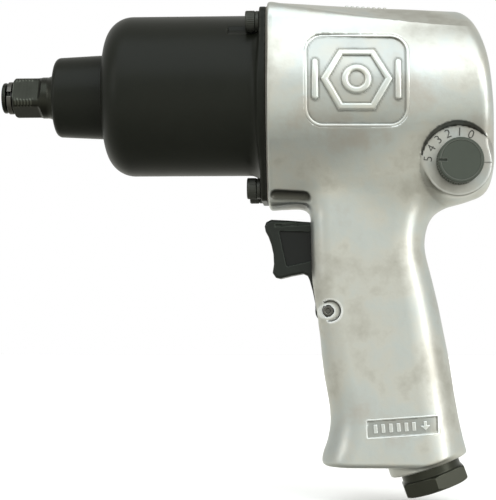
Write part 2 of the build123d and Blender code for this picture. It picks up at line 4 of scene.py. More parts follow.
import bpy
import numpy as np
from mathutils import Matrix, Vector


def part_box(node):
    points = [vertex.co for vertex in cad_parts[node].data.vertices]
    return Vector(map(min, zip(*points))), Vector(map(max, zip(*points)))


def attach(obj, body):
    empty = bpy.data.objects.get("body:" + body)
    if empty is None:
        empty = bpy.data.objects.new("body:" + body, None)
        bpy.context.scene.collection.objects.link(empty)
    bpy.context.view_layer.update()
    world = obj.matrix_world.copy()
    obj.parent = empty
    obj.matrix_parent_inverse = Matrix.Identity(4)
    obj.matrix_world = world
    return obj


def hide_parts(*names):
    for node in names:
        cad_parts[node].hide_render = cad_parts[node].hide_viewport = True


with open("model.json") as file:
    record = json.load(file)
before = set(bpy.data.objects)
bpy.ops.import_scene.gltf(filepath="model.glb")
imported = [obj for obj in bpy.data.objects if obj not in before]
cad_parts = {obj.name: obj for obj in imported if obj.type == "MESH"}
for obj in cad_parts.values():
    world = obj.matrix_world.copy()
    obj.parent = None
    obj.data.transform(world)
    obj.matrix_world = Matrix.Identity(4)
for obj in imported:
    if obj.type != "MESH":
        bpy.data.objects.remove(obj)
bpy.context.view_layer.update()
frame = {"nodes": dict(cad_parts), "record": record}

import openvdb
from mathutils import Quaternion, Vector

MM = 0.001
SIN_60 = 0.8660254

# Meshing: rounds of pulling the vertices onto the surface, and the step that measures its slope.
PULL_STEPS = 4
SLOPE_STEP = 0.02

# The main places, (x, z) in the side view, and the sizes that go with them. Millimetres.
DIAL = (176.6, -29.2)
DIAL_WALL, DIAL_FLARE, DIAL_FLOOR = 14.0, 0.24, 25.0
DIAL_NUMBERS, NUMBER_RING = (66, 88, 110, 131, 152, 173), 11.35
PIN = (127.8, -84.6)
INLET = (167.15, -145.0)
TILT = math.radians(19.2)
BADGE = (138.5, 1.25)
PANEL_HALF, PANEL_CORNER, PANEL_SINK = (19.1, 17.25), 6.5, 0.95
PLATE = (155.8, -128.5)
PLATE_HALF, PLATE_CORNER, PLATE_SINK = (13.5, 3.3), 0.5, 0.75
PLATE_TURN, PLATE_SLANT = math.radians(4.2), 0.05
SQUARE_TURN = math.radians(22.7) + math.pi / 4
SLOT_WIDTH = (-7.9, 7.9)
LEVER_REACH = 13.2

# Cap screws: y, z and the radius of the flange's ear round each.
BOLTS = [(25.0, 24.6, 5.6), (-25.0, 24.6, 5.6), (-11.5, -37.5, 5.0), (11.5, -37.5, 5.0)]


# ------------------------------------------------------------------ distance functions, millimetres
def hyp(a, b):
    return np.sqrt(a * a + b * b)


def clamp(v):
    return np.clip(v, 0, 1)


def eased(t, height=1.0):
    """A smooth step from 0 to height while t runs from 0 to 1."""
    return height * t * t * (3 - 2 * t)


def join(a, b, r):
    """Union with a fillet of radius r."""
    u, v = np.maximum(r - a, 0), np.maximum(r - b, 0)
    return np.maximum(r, np.minimum(a, b)) - np.sqrt(u * u + v * v)


def soft_join(a, b, k):
    """Union whose blend runs into both surfaces without a change of curvature."""
    h = np.maximum(k - np.abs(a - b), 0) / k
    return np.minimum(a, b) - h * h * h * k / 6


def meet(a, b, r):
    """Intersection with a rounded edge of radius r."""
    return -join(-a, -b, r)


def cut(a, b, r):
    """a without b, the new edges rounded by r."""
    return meet(a, -b, r)


def drill(a, b):
    """a without b, the new edges left sharp."""
    return np.maximum(a, -b)


def slab(v, lo, hi):
    """Distance to the space between two parallel planes."""
    return np.abs(v - (lo + hi) / 2) - (hi - lo) / 2


def block(x, y, z, xs, ys, zs):
    """Box given by its limits on each axis."""
    return np.maximum(np.maximum(slab(x, *xs), slab(y, *ys)), slab(z, *zs))


def rbox2(u, v, hu, hv, r):
    """Rectangle with half sides hu and hv and rounded corners, in two dimensions."""
    a, b = np.abs(u) - (hu - r), np.abs(v) - (hv - r)
    return hyp(np.maximum(a, 0), np.maximum(b, 0)) + np.minimum(np.maximum(a, b), 0) - r


def rod_x(x, y, z, x0, x1, r, cy=0.0, cz=0.0, edge=0.01):
    return meet(hyp(y - cy, z - cz) - r, slab(x, x0, x1), edge)


def rod_y(x, y, z, y0, y1, r, cx, cz, edge=0.01):
    return meet(hyp(x - cx, z - cz) - r, slab(y, y0, y1), edge)


def leaning(x, z):
    """Height above the boss face and sideways offset in the inlet's leaning frame."""
    dx, dz = x - INLET[0], z - INLET[1]
    return -dx * math.sin(TILT) + dz * math.cos(TILT), dx * math.cos(TILT) + dz * math.sin(TILT)


def rod_t(x, y, z, t0, t1, r, edge=0.01):
    """Rod along the inlet's leaning axis."""
    t, v = leaning(x, z)
    return meet(hyp(v, y) - r, slab(t, t0, t1), edge)


def segment(x, y, z, a, b, r):
    """Rod with round ends from a to b."""
    a, b = np.array(a, float), np.array(b, float)
    d = b - a
    px, py, pz = x - a[0], y - a[1], z - a[2]
    h = clamp((px * d[0] + py * d[1] + pz * d[2]) / (d @ d))
    return np.sqrt((px - h * d[0]) ** 2 + (py - h * d[1]) ** 2 + (pz - h * d[2]) ** 2) - r


def hex_distance(u, v, flat):
    """Hexagon, flat being half its width across flats."""
    a = np.abs(u)
    b = np.abs(u * 0.5 + v * SIN_60)
    c = np.abs(u * 0.5 - v * SIN_60)
    return np.maximum(np.maximum(a, b), c) - flat


def polygon(u, v, points):
    """Signed distance to a closed polygon."""
    u, v = np.broadcast_arrays(u, v)
    pts = np.array(points, float)
    best = np.full(u.shape, 1e12)
    inside = np.zeros(u.shape, bool)
    for (ax, ay), (bx, by) in zip(pts, np.roll(pts, -1, axis=0)):
        ex, ey = bx - ax, by - ay
        wx, wy = u - ax, v - ay
        h = clamp((wx * ex + wy * ey) / (ex * ex + ey * ey))
        best = np.minimum(best, (wx - h * ex) ** 2 + (wy - h * ey) ** 2)
        crossing = (ay > v) != (by > v)
        with np.errstate(divide="ignore", invalid="ignore"):
            at = ax + (v - ay) / (by - ay) * ex if by != ay else np.inf
        inside ^= crossing & (u < at)
    return np.where(inside, -1, 1) * np.sqrt(best)


def hull(y, z, circles, count=96):
    """Convex hull of (y, z, radius) circles, by its supporting lines."""
    y, z = np.broadcast_arrays(y, z)
    best = np.full(y.shape, -1e9)
    for k in range(count):
        a = 2 * math.pi * k / count
        c, s = math.cos(a), math.sin(a)
        reach = max(cy * c + cz * s + r for cy, cz, r in circles)
        best = np.maximum(best, y * c + z * s - reach)
    return best


def smooth_curve(points, spread, step=0.25):
    """Measured points turned into a smooth function of the first coordinate."""
    pts = sorted(points)
    u = np.arange(pts[0][0] - 12, pts[-1][0] + 12, step)
    v = np.interp(u, [p[0] for p in pts], [p[1] for p in pts])
    k = np.arange(-int(4 * spread / step), int(4 * spread / step) + 1) * step
    w = np.exp(-0.5 * (k / spread) ** 2)
    v = np.convolve(np.pad(v, len(k) // 2, mode="edge"), w / w.sum(), mode="valid")
    return lambda q: np.interp(q, u, v)


# ------------------------------------------------------------------ meshing
def add_object(name, data):
    obj = bpy.data.objects.new(name, data)
    bpy.context.scene.collection.objects.link(obj)
    return obj


def smooth_mesh(name, points, faces):
    mesh = bpy.data.meshes.new(name)
    mesh.from_pydata(points, [], faces)
    mesh.polygons.foreach_set("use_smooth", np.ones(len(mesh.polygons), bool))
    mesh.update()
    return mesh


def sculpt(name, sdf, lo, hi, voxel, reach):
    """Mesh the zero level of a distance function, then pull every vertex onto it.

    Two attributes say how hollow and how ridged the surface is within the given reach.
    """
    lo, hi = np.array(lo, float), np.array(hi, float)
    n = np.ceil((hi - lo) / voxel).astype(int) + 1
    ax = [lo[i] + voxel * np.arange(n[i]) for i in range(3)]
    field = np.empty(n, np.float32)
    for i in range(0, n[0], 16):
        values = sdf(ax[0][i:i + 16, None, None], ax[1][None, :, None], ax[2][None, None, :])
        field[i:i + 16] = np.clip(values, -3 * voxel, 3 * voxel)
    grid = openvdb.FloatGrid(background=3 * voxel)
    grid.copyFromArray(field)
    points, quads = grid.convertToQuads(0.0)
    p = points.astype(float) * voxel + lo

    def slope(q):
        g = np.empty_like(q)
        for i in range(3):
            a, b = q.copy(), q.copy()
            a[:, i] += SLOPE_STEP
            b[:, i] -= SLOPE_STEP
            g[:, i] = (sdf(*a.T) - sdf(*b.T)) / (2 * SLOPE_STEP)
        return g

    for _ in range(PULL_STEPS):
        g = slope(p)
        move = sdf(*p.T) / np.maximum((g * g).sum(1), 0.25)
        p -= g * np.clip(move, -voxel * 0.6, voxel * 0.6)[:, None]
    g = slope(p)
    normals = g / np.maximum(np.linalg.norm(g, axis=1), 1e-9)[:, None]
    a, b, c = p[quads[:, 0]], p[quads[:, 1]], p[quads[:, 2]]
    facing = (np.cross(b - a, c - a) * normals[quads[:, 0]]).sum()
    if facing < 0:
        quads = quads[:, ::-1]
    mesh = smooth_mesh(name, (p * MM).tolist(), quads.tolist())
    mesh.normals_split_custom_set_from_vertices(normals.tolist())
    # hollow: how enclosed the surface is; the materials darken by it as painted shade
    hollow = 1 - sdf(*(p + reach * normals).T) / reach
    ridge = 1 + sdf(*(p - reach * normals).T) / reach
    for label, value in (("hollow", hollow), ("ridge", ridge)):
        layer = mesh.attributes.new(label, "FLOAT", "POINT")
        layer.data.foreach_set("value", clamp(value).astype(np.float32))
    return add_object(name, mesh)


def place(obj, body, mat, slot, *nodes):
    obj.data.materials.clear()
    obj.data.materials.append(mat)
    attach(obj, body)
    if nodes:
        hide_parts(*nodes)
    return obj


# ------------------------------------------------------------------ shapes
grip_front = smooth_curve([
    (-20, 121.0), (-50, 121.2), (-72.4, 121.7), (-81.8, 123.0), (-94.4, 124.8), (-103.8, 125.6),
    (-110.1, 126.4), (-116.4, 127.6), (-122.6, 128.6), (-129, 128.8), (-135.2, 127.6),
    (-140.5, 125.6), (-144.6, 125.2), (-152, 125.2),
], 1.5)
grip_rear = smooth_curve([
    (-20, 164.8), (-59.9, 164.8), (-63, 165.5), (-66.2, 166.4), (-72.4, 168.0), (-81.8, 170.3),
    (-91.3, 172.2), (-103.8, 174.7), (-116.4, 176.5), (-128.9, 178.7), (-139.9, 180.0),
    (-152, 181.2),
], 2.5)
grip_half = smooth_curve([
    (-28, 18.8), (-50, 18.0), (-60, 17.3), (-72, 16.6), (-91, 15.9), (-110, 15.8), (-126, 16.1),
    (-138, 16.6), (-152, 16.7),
], 3.0)
grip_corner = smooth_curve([(-50, 12.5), (-62, 13.0), (-85, 13.8), (-105, 14.8), (-150, 15.2)], 4.0)
front_corner = smooth_curve([(-50, 7.5), (-85, 8.5), (-105, 10.5), (-125, 12.5), (-150, 13.0)], 4.0)
barrel_top = smooth_curve([
    (100, 36.0), (106, 36.0), (113, 35.7), (120, 35.4), (127, 34.9), (134, 34.5), (141, 34.1),
    (148, 33.6), (160, 33.1), (169.4, 32.5), (181, 31.9), (196, 31.4),
], 2.0)
barrel_low = smooth_curve([
    (100, -43.5), (118, -44.0), (165, -44.0), (175, -43.2), (183, -41.4), (190, -39.8),
    (198, -38.5),
], 2.0)
back_face = smooth_curve([
    (-60, 190.8), (-31.6, 190.8), (-25, 190.7), (-20, 190.4), (-9.7, 189.8), (0, 188.9),
    (9.1, 188.0), (15.4, 186.8), (21.7, 185.2), (28, 183.4), (34, 181.4),
], 2.5)
SCOOP = ((108.4, 18.3, -41.5), (118.4, 16.7, -42.0), 2.7)
FRONT_PAD = [(0, 0, 33.2)] + [(y, z, r + 1.7) for y, z, r in BOLTS]


def barrel_shell(x, y, z):
    """The barrel's outer wall: a circle on top, running into a smaller one below."""
    r_top = barrel_top(x)
    r_low = 24.0
    h = -(barrel_low(x) + r_low)
    ay, az = np.abs(y), -z
    b = (r_top - r_low) / h
    a = np.sqrt(1 - b * b)
    k = -b * ay + a * az
    side = ay * a + az * b - r_top
    top = hyp(ay, az) - r_top
    low = hyp(ay, az - h) - r_low
    return np.where(k < 0, top, np.where(k > a * h, low, side))


def grip_side(x, y, z):
    """The grip's outer wall, with a tighter corner in front than behind."""
    xf, xr = grip_front(z), grip_rear(z)
    u = x - (xf + xr) / 2
    corner = np.where(u < 0, front_corner(z), grip_corner(z))
    return rbox2(u, y, (xr - xf) / 2, grip_half(z), corner)


def housing_outer(x, y, z):
    pad = hull(y, z, FRONT_PAD) + np.maximum(x - 107.0, 0) * np.where(z > 0, 0.17, 0.13)
    body = soft_join(barrel_shell(x, y, z), pad, 7.0)
    body = meet(body, x - back_face(z), 5.5)
    body = meet(body, 105.1 - x, 1.1)

    grip = grip_side(x, y, z)
    t, v = leaning(x, z)
    grip = meet(grip, -144.2 - z, 2.2)
    grip = meet(grip, 2.0 - t, 1.2)
    grip = meet(grip, z + 6, 1.0)
    boss = meet(hyp(v, y * 1.12) - 15.5, slab(t, 0.8, 24), 0.9)
    grip = join(grip, boss, 1.6)
    back = clamp((x - 128.0) / 34.0)
    web = 4.6 + eased(back, 9.5)
    body = soft_join(body, grip, 1.76 * web)

    lug = rod_y(x, y, z, -25.0, 25.0, 12.6, *DIAL, edge=0.9)
    return join(body, lug, 3.0)


def panel_edge(x, z):
    """Outline of the badge panel, seen from the side."""
    return rbox2(x - BADGE[0], z - BADGE[1], *PANEL_HALF, PANEL_CORNER)


def panel_depth(x, z):
    """How deep the badge panel is sunk at this place: nothing outside it."""
    return eased(clamp(0.5 - panel_edge(x, z) / 0.9), PANEL_SINK)


def plate_axes(x, z):
    """Along and across the marked plate on the grip."""
    c, s = math.cos(PLATE_TURN), math.sin(PLATE_TURN)
    dx, dz = x - PLATE[0], z - PLATE[1]
    return dx * c + dz * s, -dx * s + dz * c


def plate_edge(x, z):
    """Outline of the marked plate, seen from the side."""
    u, v = plate_axes(x, z)
    return rbox2(u - PLATE_SLANT * v, v, *PLATE_HALF, PLATE_CORNER)


def badge_outline(u, v):
    """Generic badge: a six-sided nut outline with a round hole, between two bars."""
    shape = np.minimum(np.abs(hex_distance(v, u, 10.3)) - 1.45, np.abs(hyp(u, v) - 4.3) - 1.4)
    for s in (-1, 1):
        shape = np.minimum(shape, rbox2(u - s * 15.4, v, 1.4, 8.0, 1.4))
    return shape


def housing(x, y, z):
    x, y, z = np.broadcast_arrays(x, y, z)
    d = housing_outer(x, y, z)
    d = np.where((z > -24) & (x < 164) & (y < 0), d + panel_depth(x, z), d)
    m = clamp(0.5 - plate_edge(x, z) / 0.7)
    d = np.where(y < 0, d + eased(m, PLATE_SINK), d)

    # undercut beside each lower screw boss
    for side in (-1, 1):
        scoop = segment(x, y * side, z, *SCOOP)
        d = cut(d, scoop, 0.9)

    # flared recesses for the dial and the lever, then those for the trigger pin's ends
    for side in (-1, 1):
        out = y * side
        cone = hyp(x - DIAL[0], z - DIAL[1]) - DIAL_WALL - DIAL_FLARE * np.maximum(out - DIAL_FLOOR, 0)
        d = cut(d, meet(cone, slab(out, DIAL_FLOOR, 60.0), 0.01), 0.5)
    for side in (-1, 1):
        d = cut(d, rod_y(x, y * side, z, 14.0, 40.0, 3.95, PIN[0] + 0.9, PIN[1]), 0.35)

    # motor bore, screws, inlet, throttle chamber, selector sleeve, trigger slot
    d = cut(d, rod_x(x, y, z, 90, 168.4, 26.5), 0.2)
    d = cut(d, rod_x(x, y, z, 90, 108.9, 30.5), 0.3)
    d = drill(d, rod_x(x, y, z, 160, 182, 10.0))
    for by, bz, _ in BOLTS:
        d = drill(d, rod_x(x, y, z, 90, 119, 2.55, by, bz))
    d = drill(d, rod_t(x, y, z, -5, 14.05, 11.06))
    d = drill(d, rod_t(x, y, z, 10, 63.5, 9.04))
    d = drill(d, rod_t(x, y, z, 60, 95, 7.05))
    d = drill(d, segment(x, y, z, (136, 0, -57.5), (172, 0, -32.3), 3.2))
    d = drill(d, rod_y(x, y, z, -40, 40, 6.36, *DIAL))
    for side in (-1, 1):
        detent_z = z * side - (side - 1) * DIAL[1]
        d = drill(d, rod_y(x, y * side, detent_z, 17, 40, 1.1, DIAL[0], DIAL[1] + 7.4))
        d = drill(d, segment(x, y * side, z, (146, 9.5, -18), (140, 9.5, -135), 2.4))
    foot = np.maximum(rbox2(x - 139.0, y, 8.5, 11.0, 2.4), slab(z, -160, -141.2))
    d = cut(d, foot, 0.4)
    d = drill(d, np.maximum(rbox2(x - 140.5, y, 6.5, 9.5, 1.0), slab(z, -142, -131)))
    slot = block(x, y, z, (100, 130.6), SLOT_WIDTH, (-88.5, -48.2))
    slot = np.minimum(slot, block(x, y, z, (100, 123.0), SLOT_WIDTH, (-60, -46.6)))
    slot = np.minimum(slot, rod_y(x, y, z, *SLOT_WIDTH, 5.3, *PIN))
    d = cut(d, slot, 0.5)
    d = drill(d, rod_y(x, y, z, -40, 40, 2.05, *PIN))
    d = drill(d, rod_x(x, y, z, 129, 139, 4.03, 0, -62))
    return d


def case_outer(x, y, z):
    rr = hyp(y, z)
    nose = meet(meet(rr - (15.9 + (x - 26.0) * 0.05), 20.6 - x, 2.0), x - 60, 1)
    shoulder = meet(meet(rr - 31.4, 41.0 - x, 10.8), x - 102.3, 0.1)
    body = join(nose, shoulder, 0.9)
    flange = meet(hull(y, z, [(0, 0, 33.5)] + BOLTS), slab(x, 102.1, 104.7), 0.5)
    return join(body, flange, 4.5)


def hammer_case(x, y, z):
    x, y, z = np.broadcast_arrays(x, y, z)
    d = case_outer(x, y, z)
    d = meet(d, x - 104.7, 0.3)
    d = np.minimum(d, rod_x(x, y, z, 102.0, 107.1, 30.45, edge=0.3))
    for by, bz, _ in BOLTS:
        d = cut(d, rod_x(x, y, z, 90.0, 102.1, 4.45, by, bz), 0.35)
        d = drill(d, rod_x(x, y, z, 90.0, 110, 2.55, by, bz))
    rr = hyp(y, z)
    inner = meet(meet(rr - 28.5, 42.5 - x, 9.0), x - 130, 0.1)
    d = drill(d, inner)
    d = drill(d, rod_x(x, y, z, 23.0, 60, 11.53))
    return cut(d, rod_x(x, y, z, 10.0, 30, 10.4), 0.5)


def cap_screw(x, y, z):
    ang = np.arctan2(z, y)
    r = hyp(y, z)
    knurl = 0.13 * (0.5 + 0.5 * np.cos(36 * ang)) * clamp((x - 97.5) / 0.3)
    head = meet(r - 4.1 + knurl, slab(x, 96.8, 100.6), 0.55)
    head = cut(head, np.maximum(hex_distance(y, z, 2.0), x - 99.2), 0.15)
    return np.minimum(head, rod_x(x, y, z, 100.0, 118.0, 2.4, edge=0.5))


def lock_washer(x, y, z):
    r = hyp(y, z)
    ring = meet(np.abs(r - 3.3) - 0.7, slab(x, 100.62, 102.08), 0.25)
    gap = np.maximum(slab(z - 0.5 * (x - 101.35), -0.35, 0.35), -y)
    return drill(ring, gap)


def square_axes(y, z):
    """Offsets from the axis along the drive square's two pairs of flats."""
    c, s = math.cos(SQUARE_TURN), math.sin(SQUARE_TURN)
    return y * c + z * s, -y * s + z * c


def anvil(x, y, z):
    r = hyp(y, z)
    tip = meet(r - 6.05, slab(x, -0.8, 0.9), 0.7)
    core = rod_x(x, y, z, 0.0, 6.0, 4.1)
    u, v = square_axes(y, z)
    square = np.maximum(np.abs(u), np.abs(v)) - 6.35
    square = meet(square, r - 7.95, 0.35)
    square = np.maximum(square, slab(x, 3.7, 17.5))
    square = meet(square, (r - 7.2) - (x - 3.7), 0.3)
    swell = 7.95 + 1.6 * clamp((x - 17.4) / 3.0)
    neck = np.maximum(r - np.minimum(swell, 9.5), slab(x, 15.2, 92))
    wall = clamp((x - 13.6) / 1.8)
    square = np.where(x > 13.6, np.minimum(square, np.maximum(square - wall * wall * 1.7, r - 8.0)), square)
    d = np.minimum(np.minimum(tip, core), join(square, neck, 0.6))
    d = np.minimum(d, rod_x(x, y, z, 43.2, 53.2, 13.15, edge=0.5))
    for x0, x1, sign in ((53.7, 72.0, -1), (73.0, 91.3, 1)):
        wedge = np.abs(np.arctan2(y, z * sign)) - math.radians(25)
        jaw = np.maximum(rod_x(x, y, z, x0, x1, 12.8, edge=0.4), wedge * np.maximum(r, 0.1))
        d = np.minimum(d, jaw)
    return np.minimum(d, rod_x(x, y, z, 90, 97.6, 5.0, edge=0.5))


def friction_ring(x, y, z):
    r = hyp(y, z)
    ring = meet(np.abs(r - 5.82) - 0.58, slab(x, 1.3, 3.3), 0.45)
    a = math.radians(172)
    along, across = y * math.cos(a) + z * math.sin(a), -y * math.sin(a) + z * math.cos(a)
    return cut(ring, np.maximum(np.abs(across) - 0.9, -along), 0.2)


TRIGGER_SIDE = [
    (103.3, -51.8), (103.9, -50.2), (105.9, -49.2), (112, -49.5), (121.1, -50.2), (123.5, -50.4),
    (122.5, -57), (122.4, -62), (122.6, -66), (124.4, -73), (128.6, -79.8), (130.5, -83),
    (127.8, -84.6), (123.2, -83.2), (121.9, -77.0), (120.7, -72.6), (119.9, -70.9), (118.3, -70.2),
    (113.5, -71.1), (109.4, -72.1), (107.6, -71.7), (106.4, -69.9), (106.9, -66.5), (106.7, -62.6),
    (105.9, -59.0), (104.8, -55.9), (103.7, -53.9),
]
TRIGGER_PANEL = [(109.6, -54.2), (126, -54.8), (126, -63.6), (120.6, -64.9), (112.3, -66.8), (110.9, -60.5)]


def trigger(x, y, z):
    x, y, z = np.broadcast_arrays(x, y, z)
    side = polygon(x, z, TRIGGER_SIDE)
    d = meet(side, np.abs(y) - 7.5, 1.3)
    hub = rod_y(x, y, z, -7.5, 7.5, 4.9, *PIN, edge=0.4)
    d = join(d, hub, 0.8)
    panel = polygon(x, z, TRIGGER_PANEL) - 0.5
    for s in (-1, 1):
        d = cut(d, np.maximum(panel, 6.5 - y * s), 0.35)
    rib = np.abs(z + 51.6 - 0.045 * (x - 106)) - 0.35
    for s in (-1, 1):
        d = cut(d, np.maximum(np.maximum(rib, 7.25 - y * s), 107.5 - x), 0.2)
    return drill(d, rod_y(x, y, z, -20, 20, 2.05, *PIN))


def pin_end(x, y, z):
    d = rod_y(x, y, z, -14.7, 14.7, 2.0, *PIN, edge=0.35)
    return cut(d, rod_y(x, np.abs(y), z, 14.3, 20, 1.05, *PIN), 0.15)


def knob(x, y, z):
    dx, dz = x - DIAL[0], z - DIAL[1]
    r, ang = hyp(dx, dz), np.arctan2(dz, dx)
    band = clamp((-27.2 - y) / 0.4) * clamp((y + 33.6) / 0.4)
    teeth = 0.4 * (0.5 + 0.5 * np.cos(54 * ang)) * band
    body = meet(r - 8.45 + teeth, slab(y, -35.0, -25.4), 0.6)
    body = cut(body, np.maximum(r - 7.3, y + 34.8), 0.12)
    notch = np.maximum(np.maximum(slab(dx, -8.6, -5.2), np.abs(dz) - 0.4), y + 34.2)
    body = cut(body, notch, 0.2)
    stem = meet(r - 4.5, slab(y, -26.0, -14.0), 0.4)
    body = np.minimum(body, stem)
    groove = np.maximum(slab(y, -22.6, -20.8), 3.3 - r)
    body = drill(body, groove)
    return drill(body, hyp(r - 7.6, y + 25.4) - 0.9)


def lever(x, y, z):
    dx, dz = x - DIAL[0], z - DIAL[1]
    r = hyp(dx, dz)
    hub = meet(r - 9.0, slab(y, 25.8, 31.5), 1.1)
    a = math.radians(-115.0)
    ex, ez = LEVER_REACH * math.cos(a), LEVER_REACH * math.sin(a)
    h = clamp((dx * ex + dz * ez) / LEVER_REACH ** 2)
    arm = hyp(dx - h * ex, dz - h * ez) - (7.0 - 3.4 * h)
    arm = meet(arm, slab(y, 26.6, 31.6), 1.0)
    scoop = hyp(dx - 0.62 * ex, dz - 0.62 * ez) - 3.0
    d = join(hub, arm, 1.2)
    d = cut(d, np.maximum(scoop, 31.0 - y), 0.4)
    across, along = np.abs(dx * ez - dz * ex) / LEVER_REACH, (dx * ex + dz * ez) / LEVER_REACH
    tick = np.maximum(np.maximum(across - 0.35, slab(along, 12.6, 15.8)), 31.2 - y)
    d = cut(d, tick, 0.15)
    d = drill(d, meet(r - 4.52, y - 29.6, 0.05))
    d = drill(d, r - 1.6)
    return drill(d, hyp(r - 7.6, y - 25.8) - 0.9)


def lever_screw(x, y, z):
    dx, dz = x - DIAL[0], z - DIAL[1]
    r = hyp(dx, dz)
    head = meet(r - 3.0, slab(y, 31.65, 33.65), 0.6)
    head = cut(head, np.maximum(np.abs(dz) - 0.5, 32.7 - y), 0.12)
    return np.minimum(head, meet(r - 1.48, slab(y, 24.0, 32.0), 0.2))


def inlet_bushing(x, y, z):
    t, v = leaning(x, z)
    r = hyp(v, y)
    nut = meet(hex_distance(v, y, 12.15), slab(t, -8.5, -2.6), 0.35)
    nut = meet(nut, (r - 12.3 - (t + 8.5) * 1.5) * 0.55, 0.3)
    nut = meet(nut, (r - 13.1 + (t + 2.6) * 1.7) * 0.5, 0.3)
    collar = meet(r - 11.6, slab(t, -3.4, 0.78), 0.3)
    shank = meet(r - 11.0, slab(t, 0.0, 14.0), 0.6)
    shank = drill(shank, np.maximum(slab(t, 9.4, 11.6), 9.5 - r))
    d = join(np.minimum(collar, shank), nut, 0.4)
    thread = 0.28 * np.cos(2 * math.pi * (t / 1.41 - np.arctan2(y, v) / (2 * math.pi)))
    bore = np.maximum(r - 6.0 - thread, slab(t, -20.0, 4.0))
    mouth = np.maximum((r - 6.9 + (t + 8.5)) * 0.7, slab(t, -20, -7.0))
    d = drill(d, np.minimum(bore, mouth))
    return np.maximum(d, 5.5 - r)


def deflector(x, y, z):
    d = meet(rbox2(x - 139.0, y, 8.3, 10.8, 2.3), slab(z, -144.0, -141.6), 0.3)
    for k in range(4):
        d = cut(d, rbox2(x - (133.4 + 3.7 * k), y, 0.9, 8.0, 0.85), 0.25)
    return d


def emblem(x, y, z):
    """The raised badge and the bead around its panel."""
    x, y, z = np.broadcast_arrays(x, y, z)
    u, v = x - BADGE[0], z - BADGE[1]
    skin = barrel_shell(x, y, z)
    strokes = meet(badge_outline(u, v), slab(skin, -1.7, 0.15), 1.1)
    border = meet(np.abs(rbox2(u, v, 19.0, 17.15, 6.5)) - 0.75, slab(skin, -1.6, 0.18), 0.6)
    return np.minimum(strokes, border)


def plate_marks(x, y, z):
    """Generic raised bars and a down arrow in the long plate on the grip."""
    x, y, z = np.broadcast_arrays(x, y, z)
    u, v = plate_axes(x, z)
    shape = np.full(u.shape, 99.0)
    for k in range(6):
        shape = np.minimum(shape, rbox2(u + 10.2 - 2.9 * k, v, 0.75, 1.7, 0.3))
    shape = np.minimum(shape, polygon(u, v, [(8.0, 1.7), (9.2, 1.7), (9.2, 0.1), (10.6, 0.1), (8.6, -1.8),
                                             (6.6, 0.1), (8.0, 0.1)]))
    skin = grip_side(x, y, z)
    shape = meet(shape, slab(skin, -1.2, -0.02), 0.25)
    rim = np.abs(rbox2(u - PLATE_SLANT * v, v, 13.7, 3.5, 0.6)) - 0.4
    return np.minimum(shape, meet(rim, slab(skin, -1.4, 0.08), 0.3))


def index_line(x, y, z):
    """The inked index line beside the power dial."""
    return meet(rbox2(x - 187.1, z - DIAL[1], 1.8, 0.22, 0.1), slab(y, -25.12, -24.6), 0.04)


def top_marks(x, y, z):
    """A row of plain short ribs on the crown of the barrel."""
    x, y, z = np.broadcast_arrays(x, y, z)
    shape = np.full(x.shape, 99.0)
    for k in range(8):
        shape = np.minimum(shape, rbox2(x - 135.4 - 2.1 * k, y, 0.6, 8.5, 0.55))
    return meet(shape, slab(barrel_shell(x, y, z), -0.8, 0.4), 0.3)


# ------------------------------------------------------------------ materials
def new_material(name):
    mat = bpy.data.materials.new(name)
    mat.use_nodes = True
    nodes, links = mat.node_tree.nodes, mat.node_tree.links
    shader = nodes["Principled BSDF"]
    coord = nodes.new("ShaderNodeTexCoord")
    return mat, nodes, links, shader, coord


def noise(nodes, links, coord, scale, detail=4.0, rough=0.55, stretch=None):
    """Noise in the piece's own coordinates, so it moves with the piece."""
    tex = nodes.new("ShaderNodeTexNoise")
    tex.inputs["Scale"].default_value = scale
    tex.inputs["Detail"].default_value = detail
    tex.inputs["Roughness"].default_value = rough
    if stretch:
        mapping = nodes.new("ShaderNodeMapping")
        mapping.inputs["Scale"].default_value = stretch
        links.new(coord.outputs["Object"], mapping.inputs["Vector"])
        links.new(mapping.outputs["Vector"], tex.inputs["Vector"])
    else:
        links.new(coord.outputs["Object"], tex.inputs["Vector"])
    return tex.outputs["Fac"]


def ramp(nodes, links, source, stops):
    node = nodes.new("ShaderNodeValToRGB")
    links.new(source, node.inputs["Fac"])
    ends = node.color_ramp.elements
    ends[0].position, ends[0].color = stops[0][0], (*stops[0][1], 1)
    ends[1].position, ends[1].color = stops[-1][0], (*stops[-1][1], 1)
    for pos, colour in stops[1:-1]:
        ends.new(pos).color = (*colour, 1)
    return node.outputs["Color"]


def remap(nodes, links, source, **limits):
    """Map Range node, with limits such as from_min=0.1."""
    node = nodes.new("ShaderNodeMapRange")
    links.new(source, node.inputs["Value"])
    for label, value in limits.items():
        node.inputs[label.replace("_", " ").title()].default_value = value
    return node.outputs["Result"]


def span(nodes, links, source, lo, hi):
    return remap(nodes, links, source, to_min=lo, to_max=hi)


def scaled(colour, factor):
    return tuple(min(1, c * factor) for c in colour)


def mix(nodes, links, factor, a, b):
    node = nodes.new("ShaderNodeMix")
    node.data_type = "RGBA"
    for socket, value in ((node.inputs["Factor"], factor), (node.inputs[6], a), (node.inputs[7], b)):
        if hasattr(value, "is_output"):
            links.new(value, socket)
        else:
            socket.default_value = value if not isinstance(value, tuple) else (*value, 1)
    return node.outputs[2]


def bump(nodes, links, source, strength, distance, before=None):
    node = nodes.new("ShaderNodeBump")
    node.inputs["Strength"].default_value = strength
    node.inputs["Distance"].default_value = distance
    links.new(source, node.inputs["Height"])
    if before is not None:
        links.new(before, node.inputs["Normal"])
    return node.outputs["Normal"]


def masked(nodes, links, label, low, high, top=1.0):
    """A sculpted piece's hollow or ridge attribute, spread between two levels."""
    source = nodes.new("ShaderNodeAttribute")
    source.attribute_name = label
    return remap(nodes, links, source.outputs["Fac"], from_min=low, from_max=high, to_max=top)


